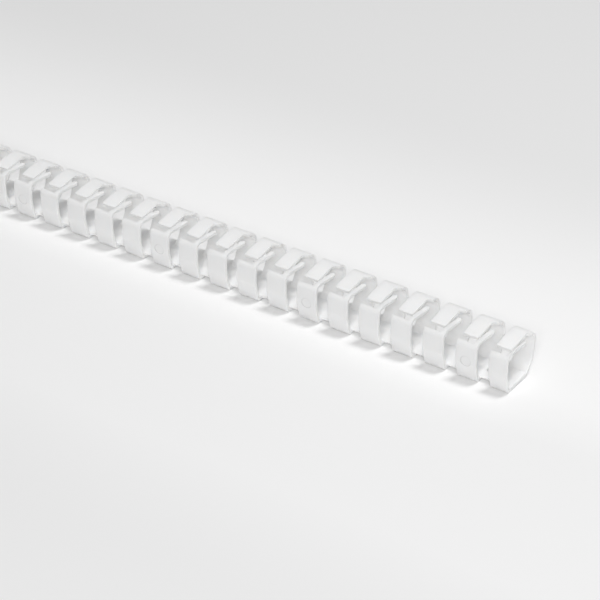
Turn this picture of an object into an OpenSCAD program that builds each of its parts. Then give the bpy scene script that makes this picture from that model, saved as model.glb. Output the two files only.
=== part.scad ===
// Cable spine: a one-piece moulded trough of open ribs on a flat backbone strip.
// Cables lie inside the ribs and go in through the slit in each rib's top.
// X runs along the spine with the trimmed end at +X, -Y is the front and +Z is up.
// The origin lies on the floor, in the middle of the spine's length and width.

/* [Spine] */
// Number of ribs along the spine
rib_count = 20; // [10:1:40]
// Distance from one rib to the next
rib_pitch = 19.4; // [18:0.1:24]
// Width of one whole rib along the spine
rib_width = 12; // [11:0.1:14]
// Length cut off the last rib at the +X end
end_trim = 1.6; // [0:0.1:2]

/* [Section] */
// Width across the ribs, front to back
spine_width = 29.7; // [28:0.1:34]
// Height of the ribs over the floor
spine_height = 26; // [24:0.1:30]
// Thickness of the rib walls
wall = 1.8; // [1.4:0.1:2.4]
// Radius of the front edge under each rib
foot_radius = 3; // [2.5:0.1:4]
// Radius of the bulge in the front wall
belly_radius = 8; // [7:0.1:9]
// Radius of the front corner at the top
brow_radius = 4; // [3.2:0.1:5]
// Radius of the back corner at the top
back_top_radius = 7; // [5:0.1:8]
// Radius of the back corner at the floor
back_foot_radius = 12.4; // [11:0.1:12.6]
// How far the front wall leans out over the front foot
front_lean = 2.2; // [1:0.1:4]
// How far the back wall leans out over the back foot
back_lean = 0.9; // [0:0.1:2]

/* [Slit] */
// Width of the tongue that comes over from the back
tongue_width = 8.9; // [7:0.1:9]
// Width of the slit between the tongue and the finger
slit_width = 0.6; // [0.5:0.1:1]
// Distance from the front face to the tongue's tip
tongue_reach = 7.2; // [5:0.1:9]
// How far the tongue's tip lies below its root
tongue_drop = 2.1; // [1:0.1:3]
// Angle on the front corner where the front wall stops under the tongue
front_stop = 125; // [115:1:145]
// Length of the open notch between the finger's tip and the back corner
notch_length = 3.4; // [2:0.1:5]
// Rounding of the notch where the tongue meets the back corner
root_radius = 3.1; // [1:0.1:3.6]
// Rounding of the corner between the front wall's edge and the finger
crook_radius = 1.6; // [1:0.1:2]
// How much lower the finger's root lies than the top of the ribs
finger_drop = 1.6; // [1:0.1:2.5]
// Angle at which the finger slopes down towards its tip
finger_dip = 5; // [2:1:8]
// Rounding of the tongue's two corners
tongue_corner = 0.9; // [0.4:0.1:2]

/* [Backbone] */
// Thickness of the backbone strip
strip_thickness = 3; // [2:0.1:4]
// Distance from the front face to the strip's front edge
strip_set_back = 5.2; // [4:0.1:8]
// Distance from the back face to the strip's rear edge between the ribs
strip_rear_gap = 3.2; // [2:0.1:6]
// Slope of the strip's front edge, inwards towards the floor
strip_undercut = 3; // [1:0.1:4]
// Diameter of the two fixing holes
fixing_bore = 3.2; // [2:0.1:4]
// Distance of the fixing holes from the middle, towards the back
fixing_line = -1.9; // [-3:0.1:3]
// Distance from each end of the spine to its fixing hole
fixing_offset = 16.4; // [12:0.1:24]

/* [Marks] */
// Ribs from one round mark to the next
mark_step = 5; // [2:1:10]
// Diameter of the round marks
mark_diameter = 5.8; // [4:0.1:7]
// Depth of the round marks
mark_depth = 0.3; // [0.2:0.05:0.6]
// Height of the marks' centres over the floor
mark_height = 12.7; // [12:0.1:15]

/* [Hidden] */

// Whole length, and where the two ends and the front and back lie
spine_length = (rib_count - 1) * rib_pitch + rib_width - end_trim;
near_end = spine_length / 2;
far_end = -spine_length / 2;
front_y = -spine_width / 2;
back_y = spine_width / 2;

// Circles that the section runs round, each with centre and radius
foot = [front_y + front_lean + foot_radius, foot_radius, foot_radius];
belly = [front_y + belly_radius, 12.5, belly_radius];
brow_top = spine_height - finger_drop;
brow = [front_y + 0.1 + brow_radius, brow_top - brow_radius, brow_radius];
back_top = [back_y - back_top_radius, spine_height - back_top_radius, back_top_radius];
back_foot = [back_y - back_lean - back_foot_radius, back_foot_radius, back_foot_radius];

// Where the tongue ends, where the notch starts and how wide the finger is
tongue_tip = front_y + tongue_reach;
notch_start = back_top[0] - notch_length;
finger_width = rib_width - tongue_width - slit_width;
crown_run = back_top[0] - tongue_tip;
crown_radius = (crown_run * crown_run + tongue_drop * tongue_drop) / (2 * tongue_drop);
crown = [back_top[0], spine_height - crown_radius, crown_radius];
crown_end = 90 + asin(crown_run / crown_radius);
arc_step = 6;

// Angle of the outward normal of the line that touches two circles, going round the section
function touch_angle(a, b) =
    let (run = [b[0] - a[0], b[1] - a[1]])
    atan2(run[1], run[0]) - acos((a[2] - b[2]) / norm(run));

// Points on a circle between two angles, on the outside or the wall's inside
function arc_points(c, from, to, inset, step = arc_step) =
    let (steps = max(1, ceil(abs(to - from) / step)))
    [for (i = [0 : steps])
        let (t = from + (to - from) * i / steps)
        [c[0] + (c[2] - inset) * cos(t), c[1] + (c[2] - inset) * sin(t)]];

// The section from a stop on the front corner, down and round to the top of the back corner
function section_path(inset) =
    let (
        at_brow = touch_angle(brow, belly) + 360,
        at_belly = touch_angle(belly, foot) + 360,
        at_foot = touch_angle(foot, back_foot) + 360,
        at_back = touch_angle(back_foot, back_top) + 360
    )
    concat(
        arc_points(brow, front_stop, at_brow, inset),
        arc_points(belly, at_brow, at_belly, inset),
        arc_points(foot, at_belly, at_foot, inset),
        arc_points(back_foot, at_foot, at_back, inset),
        arc_points(back_top, at_back, 450, inset)
    );

function reversed(list) = [for (i = [len(list) - 1 : -1 : 0]) list[i]];

// A section in Y and Z drawn out along X
module along_x(x, length) {
    translate([x, 0, 0])
        rotate([90, 0, 90])
            linear_extrude(height = length)
                children();
}

// Wall of one rib, open at the top
module rib_wall(x, width) {
    along_x(x, width)
        polygon(concat(section_path(0), reversed(section_path(wall))));
}

// Rounded fill for an inner corner: a square block with a round bite, standing on the XY plane
module corner_fill(radius, height, turn) {
    rotate([0, 0, turn])
        difference() {
            translate([-0.2, -0.2, 0])
                cube([radius + 0.2, radius + 0.2, height]);
            translate([radius, radius, -1])
                cylinder(r = radius, h = height + 2, $fn = 48);
        }
}

// What is cut from the two corners of a strip's tip to round them, with the strip on the +Y side
module tip_cut(width, corner) {
    for (side = [0, 1])
        translate([side * width, 0, 0])
            mirror([side, 0, 0])
                difference() {
                    translate([-1, -1, 0])
                        cube([corner + 1, corner + 1, 2 * spine_height]);
                    translate([corner, corner, -1])
                        cylinder(r = corner, h = 2 * spine_height + 2, $fn = 48);
                }
}

// Tongue that comes over the top from the back wall and falls gently towards its tip
module tongue(x, width) {
    difference() {
        along_x(x, width)
            polygon(concat(
                arc_points(crown, 90, crown_end, 0, 2),
                reversed(arc_points(crown, 90, crown_end, wall, 2))
            ));
        translate([x, tongue_tip, 0])
            tip_cut(width, tongue_corner);
    }
}

// Rounded corner where the tongue's side turns into the top of the back wall
module root(x, radius) {
    fill_end = 90 + asin((radius + 0.5) / crown_radius);
    intersection() {
        along_x(x - 0.2, radius + 0.2)
            polygon(concat(
                arc_points(crown, 90, fill_end, 0, 0.5),
                reversed(arc_points(crown, 90, fill_end, wall, 0.5))
            ));
        translate([x, back_top[0], 0])
            corner_fill(radius, 2 * spine_height, -90);
    }
}

// Finger that reaches back from the front wall beside the tongue
module finger(x, width) {
    low = 90 - finger_dip;
    run = (notch_start - brow[0] - brow_radius * cos(low)) / cos(finger_dip);
    along = run * [cos(finger_dip), -sin(finger_dip)];
    root = [brow[0], brow[1]];
    normal = [cos(low), sin(low)];
    difference() {
        along_x(x, width)
            polygon(concat(
                [root + brow_radius * normal + along],
                arc_points(brow, low, front_stop, 0),
                reversed(arc_points(brow, low, front_stop, wall)),
                [root + (brow_radius - wall) * normal + along]
            ));
        translate([x, notch_start, 0])
            mirror([0, 1, 0])
                tip_cut(width, width / 2);
    }
}

// Rounded corner where the front wall's top edge turns into the finger
module crook(x) {
    edge_y = brow[0] + brow_radius * cos(front_stop);
    intersection() {
        along_x(x - crook_radius, crook_radius + 0.2)
            polygon(concat(
                arc_points(brow, 90, front_stop + 6, 0),
                reversed(arc_points(brow, 90, front_stop + 6, wall))
            ));
        translate([x, edge_y, 0])
            corner_fill(crook_radius, 2 * spine_height, 90);
    }
}

module rib(x, trim) {
    rib_wall(x, rib_width - trim);
    tongue(x, tongue_width);
    root(x + tongue_width, min(root_radius, rib_width - trim - tongue_width));
    finger(x + tongue_width + slit_width, finger_width - trim);
    crook(x + tongue_width + slit_width);
}

// Flat floor inside one rib, cut to the rib's own outline at the back
module rib_floor(x, width) {
    rear = back_foot[0] + sqrt(pow(back_foot_radius, 2) - pow(back_foot[1] - strip_thickness, 2));
    rear_angle = atan2(strip_thickness - back_foot[1], rear - back_foot[0]);
    along_x(x, width)
        polygon(concat(
            [[foot[0], strip_thickness], [foot[0], 0]],
            arc_points(back_foot, -90, rear_angle, 0)
        ));
}

// Flat link between two ribs, with both long edges sloped in towards the floor
module link(x, length) {
    strip_front = front_y + strip_set_back;
    strip_rear = back_y - strip_rear_gap;
    along_x(x, length)
        polygon([
            [strip_front, strip_thickness], [strip_front, strip_thickness - 0.6],
            [strip_front + strip_undercut, 0], [strip_rear - 2 * strip_undercut, 0],
            [strip_rear, strip_thickness - 0.6], [strip_rear, strip_thickness]
        ]);
}

module fixing_holes() {
    for (x = [far_end + fixing_offset, near_end - fixing_offset])
        translate([x, fixing_line, -1])
            cylinder(d = fixing_bore, h = strip_thickness + 2, $fn = 48);
}

// Round marks pressed into the front wall of every fifth rib
module marks() {
    for (i = [1 : mark_step : rib_count - 1])
        translate([near_end + end_trim - rib_width / 2 - i * rib_pitch, front_y - 1, mark_height])
            rotate([-90, 0, 0])
                cylinder(d = mark_diameter, h = 1 + mark_depth, $fn = 64);
}

module spine() {
    color("WhiteSmoke")
        difference() {
            union() {
                for (i = [0 : rib_count - 1]) {
                    x = far_end + i * rib_pitch;
                    trim = i == rib_count - 1 ? end_trim : 0;
                    rib(x, trim);
                    rib_floor(x, rib_width - trim);
                    if (i < rib_count - 1)
                        link(x + rib_width, rib_pitch - rib_width);
                }
            }
            fixing_holes();
            marks();
        }
}

spine();
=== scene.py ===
import bpy
import bmesh
import math
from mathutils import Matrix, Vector


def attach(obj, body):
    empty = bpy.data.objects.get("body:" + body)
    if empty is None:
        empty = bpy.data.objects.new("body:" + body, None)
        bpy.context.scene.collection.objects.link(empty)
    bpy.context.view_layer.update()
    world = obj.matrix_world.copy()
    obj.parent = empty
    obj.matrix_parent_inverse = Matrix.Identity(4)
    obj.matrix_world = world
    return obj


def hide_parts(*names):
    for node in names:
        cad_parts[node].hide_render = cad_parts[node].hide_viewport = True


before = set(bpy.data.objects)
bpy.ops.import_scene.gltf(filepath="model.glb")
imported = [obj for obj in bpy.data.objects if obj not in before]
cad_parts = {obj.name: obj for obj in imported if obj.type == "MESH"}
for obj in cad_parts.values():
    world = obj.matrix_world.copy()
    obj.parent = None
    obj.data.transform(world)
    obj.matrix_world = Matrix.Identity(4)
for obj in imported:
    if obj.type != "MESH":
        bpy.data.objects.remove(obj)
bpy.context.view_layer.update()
print("stage: frame loaded")


# One shader socket, with arithmetic that adds Math nodes
class Sock:

    def __init__(self, graph, socket):
        self.graph = graph
        self.socket = socket

    def __add__(self, other):
        return self.graph.maths("ADD", self, other)

    def __radd__(self, other):
        return self.graph.maths("ADD", other, self)

    def __sub__(self, other):
        return self.graph.maths("SUBTRACT", self, other)

    def __rsub__(self, other):
        return self.graph.maths("SUBTRACT", other, self)

    def __mul__(self, other):
        return self.graph.maths("MULTIPLY", self, other)

    def __rmul__(self, other):
        return self.graph.maths("MULTIPLY", other, self)

    def __truediv__(self, other):
        return self.graph.maths("DIVIDE", self, other)

    def __rtruediv__(self, other):
        return self.graph.maths("DIVIDE", other, self)

    def clamped(self):
        return self.graph.maths("MINIMUM", self.graph.maths("MAXIMUM", self, 0.0), 1.0)


# The node tree of a material or of the world
class Graph:

    def __init__(self, owner):
        owner.use_nodes = True
        self.tree = owner.node_tree

    # values and links of a node's sockets, by name or number
    def fill(self, node, inputs):
        for name, value in inputs.items():
            if isinstance(value, Sock):
                self.tree.links.new(value.socket, node.inputs[name])
            else:
                node.inputs[name].default_value = value

    # a new node of any kind, which gives its outputs
    def add(self, kind, settings, inputs):
        node = self.tree.nodes.new(kind)
        for name, value in settings.items():
            setattr(node, name, value)
        self.fill(node, inputs)
        return [Sock(self, socket) for socket in node.outputs]

    def maths(self, operation, *values):
        return self.add("ShaderNodeMath", {"operation": operation}, dict(enumerate(values)))[0]

    def mixColour(self, factor, first, second):
        first, second = (value if isinstance(value, Sock) else (*value, 1.0) for value in (first, second))
        return self.add("ShaderNodeMix", {"data_type": "RGBA"}, {0: factor, 6: first, 7: second})[2]

    def noise(self, place, scale, detail, roughness):
        return self.add("ShaderNodeTexNoise", {},
                        {"Vector": place, "Scale": scale, "Detail": detail, "Roughness": roughness})[0]

    def bump(self, strength, depth, height):
        return self.add("ShaderNodeBump", {}, {"Strength": strength, "Distance": depth, "Height": height})[0]


# Everything a user would change about the spine, in metres and degrees
spine = {
    "colour": (0.965, 0.965, 0.96),
    "shade": (0.935, 0.935, 0.93),       # slightly duller tone in broad patches
    "patchScale": 22.0,
    "patchContrast": 1.6,
    "roughness": 0.44,
    "roughSpread": 0.08,
    "shine": 0.4,
    "grainScale": 900.0,                 # fine moulded grain, per metre
    "grainDepth": 0.00002,
    "grainContrast": 0.35,
    "milkiness": 0.6,                    # how far light soaks into the plastic
    "milkDepth": 0.005,
    "milkTint": (1.0, 0.95, 0.9),
    "markRimShade": (0.72, 0.72, 0.715),      # painted shade on the rims of the shallow round moulding marks
    "markRimWidth": 0.0005,
    "markFirst": 0.1657,                 # X of the mark nearest the +X end
    "markStep": 0.097,
    "markHeight": 0.0127,
    "markRadius": 0.0029,
    "markFront": -0.0125,                # the marks are on the walls in front of this Y
    "markTone": 0.6,                     # how much of the painted rim shade shows at the rims' sides
    "markFadeUp": 0.35,                  # less painted shade at the top of a rim, and more at the bottom
    "markFadeAlong": 0.2,                # less of it towards +X
    "edge": 0.0002,                      # rounding of the moulded edges
    "edgeAngle": 24.0,                   # edges that turn less than this aren't rounded
    "edgeSteps": 3,
    "flatAngle": 0.6,                    # faces that turn less than this become one
    "smoothAngle": 35.0,
    "smallFace": 0.0000003,              # edges of faces under this area stay sharp
    "lipHeights": (0.0005, 0.0026),      # the hidden lip under each link stays sharp
}


# Strength of the painted shade on the thin rim round each mark on the front walls, fainter at its top
def markRimShading(graph, place, look):
    along, across, height = graph.add("ShaderNodeSeparateXYZ", {}, {"Vector": place})
    turns = (along - look["markFirst"]) / look["markStep"] + 0.5
    sideways = (graph.maths("FRACT", turns) - 0.5) * look["markStep"]
    upwards = height - look["markHeight"]
    reach = graph.maths("SQRT", sideways * sideways + upwards * upwards)
    rimShade = 1.0 - graph.maths("ABSOLUTE", reach - look["markRadius"]) / look["markRimWidth"]
    fade = (upwards * look["markFadeUp"] + sideways * look["markFadeAlong"]) / look["markRadius"]
    front = graph.maths("LESS_THAN", across, look["markFront"])
    return rimShade.clamped() * front * (look["markTone"] - fade).clamped()


def plasticMaterial(name, look):
    material = bpy.data.materials.new(name)
    graph = Graph(material)
    place = graph.add("ShaderNodeTexCoord", {}, {})[3]
    patches = graph.noise(place, look["patchScale"], 3.0, 0.6)
    grain = graph.noise(place, look["grainScale"], 4.0, 0.65)
    tone = (patches - 0.5) * look["patchContrast"] + 0.5 + (grain - 0.5) * look["grainContrast"]
    plain = graph.mixColour(tone.clamped(), look["colour"], look["shade"])
    graph.fill(graph.tree.nodes["Principled BSDF"], {
        # the marks' rims get painted shade mixed into the plastic's colour
        "Base Color": graph.mixColour(markRimShading(graph, place, look), plain, look["markRimShade"]),
        "Roughness": look["roughness"] + (grain - 0.5) * look["roughSpread"],
        "Normal": graph.bump(1.0, look["grainDepth"], grain),
        "Specular IOR Level": look["shine"],
        "Subsurface Weight": look["milkiness"],
        "Subsurface Radius": look["milkTint"],
        "Subsurface Scale": look["milkDepth"],
    })
    return material


# True for a sharp edge, but not for the shallow marks' rims and the lip under each link
def wantsRounding(edge, look):
    if len(edge.link_faces) != 2 or edge.calc_face_angle() < math.radians(look["edgeAngle"]):
        return False
    if min(face.calc_area() for face in edge.link_faces) < look["smallFace"]:
        return False
    first, second = (vertex.co for vertex in edge.verts)
    alongSpine = abs(first.x - second.x) > 0.9 * edge.calc_length()
    return not (alongSpine and look["lipHeights"][0] < first.z < look["lipHeights"][1])


# The solid's shape as a clean mesh with small rounded edges and smooth bends
def roundedCopy(source, name, look):
    mesh = bmesh.new()
    mesh.from_mesh(source.data)
    bmesh.ops.remove_doubles(mesh, verts=mesh.verts, dist=look["edge"] / 10)
    bmesh.ops.dissolve_limit(mesh, angle_limit=math.radians(look["flatAngle"]),
                             verts=mesh.verts, edges=mesh.edges)
    rounded = [edge for edge in mesh.edges if wantsRounding(edge, look)]
    bmesh.ops.bevel(mesh, geom=rounded, affect="EDGES", offset=look["edge"], offset_type="OFFSET",
                    segments=look["edgeSteps"], profile=0.5, clamp_overlap=False)
    bmesh.ops.remove_doubles(mesh, verts=mesh.verts, dist=look["edge"] / 50)
    bmesh.ops.recalc_face_normals(mesh, faces=mesh.faces)
    for face in mesh.faces:
        face.smooth = True
    data = bpy.data.meshes.new(name)
    mesh.to_mesh(data)
    mesh.free()
    data.set_sharp_from_angle(angle=math.radians(look["smoothAngle"]))
    piece = bpy.data.objects.new(name, data)
    bpy.context.scene.collection.objects.link(piece)
    weights = piece.modifiers.new("weights", "WEIGHTED_NORMAL")
    weights.keep_sharp = True
    return piece


shape = roundedCopy(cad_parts["spine"], "spineShape", spine)
shape.data.materials.append(plasticMaterial("spinePlastic", spine))
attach(shape, "root")
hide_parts("spine")
print("stage: spine built,", len(shape.data.polygons), "faces")

# Paper sweep under and behind the spine, in metres
paper = {
    "size": 6.0,
    "colour": (0.975, 0.975, 0.975),
    "rimShade": (0.86, 0.86, 0.86),           # painted shade far from the spine, where the light falls off
    "fadeStart": 0.055,                  # distance from the spine at which the painted shade starts
    "fadeWidth": 0.17,
    "frontShade": 0.5,                    # painted shade on the paper in front of the spine, where most light falls
    "frontWidth": 0.04,
    "fibreScale": 260.0,
    "fibreDepth": 0.00003,
    "fibreTone": 0.04,
    "roughness": 0.9,
    "shine": 0.2,
}


def paperMaterial(name, look):
    material = bpy.data.materials.new(name)
    graph = Graph(material)
    place = graph.add("ShaderNodeTexCoord", {}, {})[3]
    fibre = graph.noise(place, look["fibreScale"], 5.0, 0.6)
    across = graph.add("ShaderNodeSeparateXYZ", {}, {"Vector": place})[1]
    # painted light: the paper is brightest round the spine, with painted shade in front of it and behind it,
    # and more painted shade in front
    side = ((graph.maths("ABSOLUTE", across) - look["fadeStart"]) / look["fadeWidth"]).clamped()
    falloffShade = side * side * (3.0 - 2.0 * side)
    front = (across / -look["frontWidth"]).clamped() * look["frontShade"]
    tone = graph.maths("MAXIMUM", falloffShade, front) + (fibre - 0.5) * look["fibreTone"]
    graph.fill(graph.tree.nodes["Principled BSDF"], {
        # the painted pool of light and shade, with random fibre tone
        "Base Color": graph.mixColour(tone.clamped(), look["colour"], look["rimShade"]),
        "Roughness": look["roughness"],
        "Normal": graph.bump(0.5, look["fibreDepth"], fibre),
        "Specular IOR Level": look["shine"],
    })
    return material


half = paper["size"] / 2
corners = [(-half, -half, 0), (half, -half, 0), (half, half, 0), (-half, half, 0)]
floorData = bpy.data.meshes.new("floor")
floorData.from_pydata(corners, [], [(0, 1, 2, 3)])
floor = bpy.data.objects.new("floor", floorData)
bpy.context.scene.collection.objects.link(floor)
floorData.materials.append(paperMaterial("floorPaper", paper))
print("stage: floor built")

# Soft studio light: places and sizes in metres, power in watts
studio = {
    "worldStrength": 0.37,
    "zenith": (1.0, 1.0, 1.0),
    "horizon": (0.12, 0.12, 0.12),       # dark room round the table, so upright faces shade off
    "horizonSlope": 1.25,
    "lamps": {
        "key": {"place": (0.56, 0.42, 2.4), "aim": (0.0, 0.0, 0.0), "size": 0.55, "power": 25.5},
        "fill": {"place": (1.2, -1.95, 1.6), "aim": (-0.05, 0.0, 0.0), "size": 0.8, "power": 29.0},
    },
}

world = bpy.data.worlds.new("studioWorld")
bpy.context.scene.world = world
sky = Graph(world)
direction = sky.add("ShaderNodeTexCoord", {}, {})[0]
upwards = sky.add("ShaderNodeSeparateXYZ", {}, {"Vector": direction})[2]
lift = (upwards * studio["horizonSlope"]).clamped()
sky.fill(sky.tree.nodes["Background"], {
    "Color": sky.mixColour(lift, studio["horizon"], studio["zenith"]),
    "Strength": studio["worldStrength"],
})
for lampName, lamp in studio["lamps"].items():
    lampData = bpy.data.lights.new(lampName, "AREA")
    lampData.energy = lamp["power"]
    lampData.size = lamp["size"]
    lampObject = bpy.data.objects.new(lampName, lampData)
    lampObject.location = lamp["place"]
    aim = Vector(lamp["aim"]) - Vector(lamp["place"])
    lampObject.rotation_euler = aim.to_track_quat("-Z", "Y").to_euler()
    bpy.context.scene.collection.objects.link(lampObject)
print("stage: light set")

# The photograph's point of view, in metres and degrees, with the lens and sensor in millimetres
shot = {
    "target": (0.06153, -0.00995, 0.00953),
    "azimuth": 34.28,
    "elevation": 32.41,
    "distance": 1.17,
    "lens": 132.72,
    "sensor": 36.0,
}

turn = math.radians(shot["azimuth"])
tilt = math.radians(shot["elevation"])
back = Vector((math.sin(turn) * math.cos(tilt), -math.cos(turn) * math.cos(tilt), math.sin(tilt)))
cameraData = bpy.data.cameras.new("camera")
cameraData.lens = shot["lens"]
cameraData.sensor_width = shot["sensor"]
cameraData.clip_start = 0.01
cameraData.clip_end = 50
camera = bpy.data.objects.new("camera", cameraData)
camera.location = Vector(shot["target"]) + back * shot["distance"]
camera.rotation_mode = "QUATERNION"
camera.rotation_quaternion = (-back).to_track_quat("-Z", "Y")
bpy.context.scene.collection.objects.link(camera)
bpy.context.scene.camera = camera
bpy.context.scene.view_settings.view_transform = "Standard"
print("stage: camera placed")
